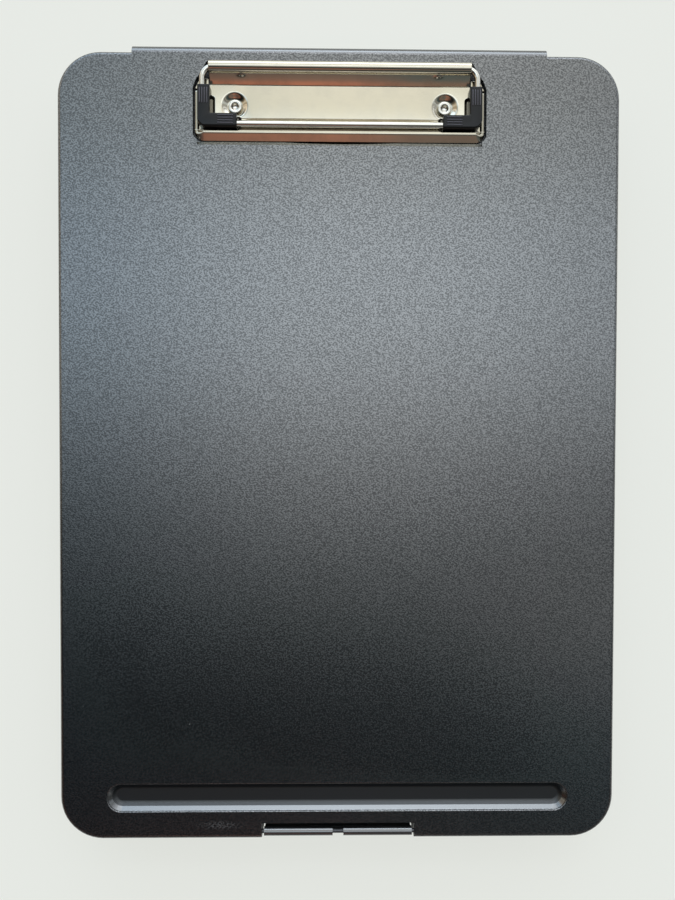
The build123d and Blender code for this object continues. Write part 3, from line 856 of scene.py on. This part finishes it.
class CLIPBOX_OT_stage(bpy.types.Operator):
    """Lay the floor, hang the soft light all round and set the camera above the lid"""

    bl_idname = "clipbox.stage"
    bl_label = "Stage"

    def execute(self, context):
        settings = context.scene.clipbox_stage
        camera_data = bpy.data.cameras.new("photo_camera")
        camera_data.lens = settings.lens
        camera_data.clip_start = 0.01
        camera = bpy.data.objects.new("photo_camera", camera_data)
        context.scene.collection.objects.link(camera)
        camera.location = settings.camera_place
        camera.rotation_euler = settings.camera_turn
        context.scene.camera = camera
        self.lay_floor(context, settings)
        self.hang_light(context, settings)
        context.scene.view_settings.view_transform = "Standard"
        return {"FINISHED"}

    def lay_floor(self, context, settings):
        """A large flat floor just under the box, partly glowing for the camera and in reflections."""
        half = 5.0
        level = TRAY_LOW.z - 0.1 * MM
        glow_share = 0.7
        glow_strength = 1.09
        mesh = bpy.data.meshes.new("floor")
        outline = ((-half, -half), (half, -half), (half, half), (-half, half))
        mesh.from_pydata([(x, y, level) for x, y in outline], [], [(0, 1, 2, 3)])
        floor = bpy.data.objects.new("floor", mesh)
        context.scene.collection.objects.link(floor)

        def build(nodes):
            colour = settings.floor_color
            lit = nodes.add("ShaderNodeBsdfPrincipled", {"Base Color": colour, "Roughness": 0.65})
            plain = nodes.add("ShaderNodeEmission", {"Color": colour, "Strength": glow_strength})
            ray = nodes.add("ShaderNodeLightPath")
            seen = nodes.math("MAXIMUM", ray.outputs["Is Camera Ray"], ray.outputs["Is Glossy Ray"])
            share = nodes.math("MULTIPLY", seen, glow_share)
            ends = {0: share, 1: lit.outputs[0], 2: plain.outputs[0]}
            return nodes.add("ShaderNodeMixShader", ends).outputs[0]

        mesh.materials.append(finish_material("pale_floor", build))

    def hang_light(self, context, settings):
        """A soft dome that lights the box. The camera sees a plain backdrop in the floor's colour."""
        world = bpy.data.worlds.new("soft_dome")
        world.use_nodes = True
        context.scene.world = world
        nodes = Nodes(world.node_tree)
        direction = nodes.add("ShaderNodeTexCoord").outputs["Generated"]
        x, y, z = nodes.axes(direction)
        lean = nodes.math("ARCTAN2", y, z)
        bands = self.dome_bands(nodes, lean)
        far_left = nodes.ramp(x, -0.5, -0.75)
        tint = self.dome_tint(nodes, x, lean, far_left)
        tinted = nodes.add(
            "ShaderNodeMix", {0: 1.0, 6: bands, 7: tint}, data_type="RGBA", blend_type="MULTIPLY"
        )
        low = nodes.ramp(z, 0.12, 0.28, 1.0, 0.0)
        bright = {"Color": tinted.outputs[2], "Strength": settings.light}
        upper = nodes.add("ShaderNodeBackground", bright)
        pale = nodes.mix(far_left, LOW_PALE, FAR_LEFT)
        lower = nodes.add("ShaderNodeBackground", {"Color": pale, "Strength": 0.8})
        dome = nodes.add("ShaderNodeMixShader", {0: low, 1: upper.outputs[0], 2: lower.outputs[0]})
        backdrop = nodes.add("ShaderNodeBackground", {"Color": settings.floor_color, "Strength": 1.0})
        seen = nodes.add("ShaderNodeLightPath").outputs["Is Camera Ray"]
        shader = nodes.add("ShaderNodeMixShader", {0: seen, 1: dome.outputs[0], 2: backdrop.outputs[0]})
        nodes.add("ShaderNodeOutputWorld", {"Surface": shader.outputs[0]})

    def dome_bands(self, nodes, lean):
        """The dome's colour by how far a direction leans back from straight up."""
        place = nodes.ramp(lean, -math.pi / 2, math.pi / 2, smooth=False)
        bands = nodes.add("ShaderNodeValToRGB", {0: place})
        elements = bands.color_ramp.elements
        elements[1].position = 1.0
        while len(elements) < len(DOME_BANDS):
            elements.new(0.5)
        for element, (degrees, colour) in zip(elements, DOME_BANDS):
            element.position = (degrees + 90) / 180
            element.color = (*colour, 1)
        return bands.outputs[0]

    def dome_tint(self, nodes, x, lean, far_left):
        """The dome's tint from side to side: dim on the left, full in the middle, grey on the right."""

        def leaning(low, high):
            return nodes.ramp(lean, math.radians(low), math.radians(high))

        shade = nodes.mix(leaning(-4, 14), LEFT_AHEAD, LEFT_BEHIND)
        tint = nodes.mix(nodes.ramp(x, -0.45, 0.02), shade, MIDDLE)
        tint = nodes.mix(far_left, tint, FAR_LEFT)
        tint = nodes.mix(nodes.ramp(x, 0.08, 0.7), tint, RIGHT)
        glow = nodes.math("MULTIPLY", leaning(-10, -18), leaning(-36, -30))
        glow = nodes.math("MULTIPLY", nodes.ramp(x, 0.12, 0.36), glow)
        tint = nodes.mix(glow, tint, WARM_GLOW)
        dull = nodes.math("MULTIPLY", nodes.ramp(x, 0.02, 0.12), leaning(-30, -38))
        return nodes.mix(dull, tint, COOL_DULL)


class CLIPBOX_OT_shells(bpy.types.Operator):
    """Give the lid and the tray their black plastic"""

    bl_idname = "clipbox.shells"
    bl_label = "Lid and tray"

    def execute(self, context):
        settings = context.scene.clipbox_plastic
        tray = plain_plastic(
            "tray_plastic_grained",
            settings.lid_color,
            roughness=0.5,
            grain_size=0.6 * MM,
            grain_depth=0.03 * MM,
            ior=1.6,
        )
        assign("lid_shell", lid_plastic(settings))
        assign("bottom_tray", tray)
        return {"FINISHED"}


class CLIPBOX_OT_latch(bpy.types.Operator):
    """Give the latch flap its satin plastic and the pins a dark-oxide drawn steel, darkened further as
    painted shade in the latch gap
    """

    bl_idname = "clipbox.latch"
    bl_label = "Latch and pins"

    def execute(self, context):
        flap = plain_plastic(
            "latch_plastic_satin",
            (0.016, 0.017, 0.018),
            roughness=0.17,
            grain_size=0.5 * MM,
            grain_depth=0.006 * MM,
            ior=2.4,
        )
        # Painted shade: the pins' steel is nearly black, partly dark oxide and partly the shade of the
        # latch pin's gap laid into its colour.
        steel = metal("pin_steel_dark_painted_shade", (0.10, 0.10, 0.105), roughness=0.3, streak=(0.05, 1, 1))
        assign("latch_flap", flap)
        assign("hinge_pin", steel)
        assign("latch_pin", steel)
        return {"FINISHED"}


class CLIPBOX_OT_plate(bpy.types.Operator):
    """Stamp the clip's base plate with its curl, raised flat, dimples and bead"""

    bl_idname = "clipbox.plate"
    bl_label = "Clip plate"

    def execute(self, context):
        settings = context.scene.clipbox_clip
        chrome = metal("clip_chrome_sheet", settings.sheet_color, settings.sheet_roughness)
        bm = StampedPlate(settings).build()
        piece = piece_from(bm, "clip_plate_stamped", chrome, "lid", "clip_chrome", "clip_base_plate")
        solid = piece.modifiers.new("sheet", "SOLIDIFY")
        solid.thickness = settings.sheet
        solid.offset = -1
        return {"FINISHED"}


class CLIPBOX_OT_wire(bpy.types.Operator):
    """Bend the spring wire out of the curl, along the sides and across the front"""

    bl_idname = "clipbox.wire"
    bl_label = "Wire"

    def execute(self, context):
        settings = context.scene.clipbox_clip
        radius = settings.wire_radius
        forward = 0.8 * MM
        arm = BAIL_HIGH.x - radius
        rear = BAIL_HIGH.y - radius
        front = BAIL_LOW.y + radius - forward
        stub = settings.roll_half - 32 * MM
        height = (BAIL_LOW.z + BAIL_HIGH.z) / 2
        route = ((-stub, rear), (-arm, rear), (-arm, front), (arm, front), (arm, rear), (stub, rear))
        corners = [Vector((x, y, height)) for x, y in route]
        bends = (settings.rear_bend, settings.front_bend, settings.front_bend, settings.rear_bend)
        bm = bmesh.new()
        round_bar(bm, rounded_route(corners, bends), radius, sides=24)
        chrome = metal("bail_chrome_wire", settings.wire_color, roughness=0.10)
        piece_from(bm, "wire_bail_bent", chrome, "bail", "wire_chrome", "wire_bail", sharp=40)
        return {"FINISHED"}


class CLIPBOX_OT_grips(bpy.types.Operator):
    """Mould the two ribbed rubber corners"""

    bl_idname = "clipbox.grips"
    bl_label = "Rubber corners"

    def execute(self, context):
        settings = context.scene.clipbox_clip
        rubber = plain_plastic(
            "grip_rubber_satin_painted_crests",
            settings.rubber_color,
            roughness=0.30,
            grain_size=0.4 * MM,
            grain_depth=0.01 * MM,
            ior=1.37,
            # Height above which the rib crests get a painted highlight in grey.
            rubbed=RUBBER_HIGH.z - 0.12 * MM,
        )
        for hand, side in ((-1, "left"), (1, "right")):
            bm = bmesh.new()
            rubber_grip(bm, hand, rounded=hand > 0)
            node = f"rubber_corner_{side}"
            piece_from(bm, f"rubber_grip_{side}", rubber, "bail", "grip_rubber", node, sharp=38)
        return {"FINISHED"}


class CLIPBOX_OT_rivets(bpy.types.Operator):
    """Spin the two rivets with rolled rings and hollow heads, and finish their washers"""

    bl_idname = "clipbox.rivets"
    bl_label = "Rivets"

    def execute(self, context):
        settings = context.scene.clipbox_clip
        shine = metal("rivet_plated", settings.wire_color, roughness=0.12)
        dull = metal("washer_plated", (0.6, 0.6, 0.58), roughness=0.3)
        middle = (RIVET_LOW + RIVET_HIGH) / 2
        low, high = RIVET_LOW.z, RIVET_HIGH.z
        seat = high - 0.55 * MM
        shank = 2.0 * MM
        ring_middle = 2.2 * MM
        ring_reach = 0.66 * MM
        ring_rise = 0.28 * MM
        profile = [(radius * MM, low + height * MM) for radius, height in RIVET_TAIL]
        profile += [(shank, seat), (2.72 * MM, seat)]
        for i in range(11):
            angle = math.radians(-40 + 22 * i)
            lift = min(high, seat + 0.27 * MM + ring_rise * math.sin(angle))
            profile.append((ring_middle + ring_reach * math.cos(angle), lift))
        profile += [(radius * MM, seat - depth * MM) for radius, depth in RIVET_HOLLOW]
        for hand, side in ((-1, "left"), (1, "right")):
            bm = bmesh.new()
            spun(bm, profile, Vector((hand * middle.x, middle.y, 0)), sides=48)
            node = f"clip_rivet_{side}"
            piece_from(bm, f"rivet_rolled_{side}", shine, "lid", "rivet_chrome", node, sharp=50)
            assign(f"rivet_washer_{side}", dull)
        return {"FINISHED"}


class CLIPBOX_PT_panel(bpy.types.Panel):
    """Lists the pieces and their sizes"""

    bl_idname = "CLIPBOX_PT_panel"
    bl_label = "Clipboard box"
    bl_space_type = "VIEW_3D"
    bl_region_type = "UI"
    bl_category = "Clipboard box"

    def draw(self, context):
        for operator in OPERATORS:
            self.layout.operator(operator.bl_idname)
        for group in GROUPS:
            box = self.layout.box()
            for name in group.__annotations__:
                box.prop(getattr(context.scene, GROUPS[group]), name)


GROUPS = {
    ClipboxPlastic: "clipbox_plastic",
    ClipboxClip: "clipbox_clip",
    ClipboxStage: "clipbox_stage",
}
OPERATORS = (
    CLIPBOX_OT_stage,
    CLIPBOX_OT_shells,
    CLIPBOX_OT_latch,
    CLIPBOX_OT_plate,
    CLIPBOX_OT_wire,
    CLIPBOX_OT_grips,
    CLIPBOX_OT_rivets,
)


def register():
    """Registers the property groups, the operators and the panel."""
    for group, name in GROUPS.items():
        bpy.utils.register_class(group)
        setattr(bpy.types.Scene, name, bpy.props.PointerProperty(type=group))
    for operator in OPERATORS:
        bpy.utils.register_class(operator)
    bpy.utils.register_class(CLIPBOX_PT_panel)


def unregister():
    """Takes the classes and their scene properties away again."""
    bpy.utils.unregister_class(CLIPBOX_PT_panel)
    for operator in reversed(OPERATORS):
        bpy.utils.unregister_class(operator)
    for group, name in GROUPS.items():
        delattr(bpy.types.Scene, name)
        bpy.utils.unregister_class(group)


def main():
    """Builds the stage and every piece."""
    register()
    bpy.ops.clipbox.stage()
    bpy.ops.clipbox.shells()
    bpy.ops.clipbox.latch()
    bpy.ops.clipbox.plate()
    bpy.ops.clipbox.wire()
    bpy.ops.clipbox.grips()
    bpy.ops.clipbox.rivets()


if __name__ == "__main__":
    main()
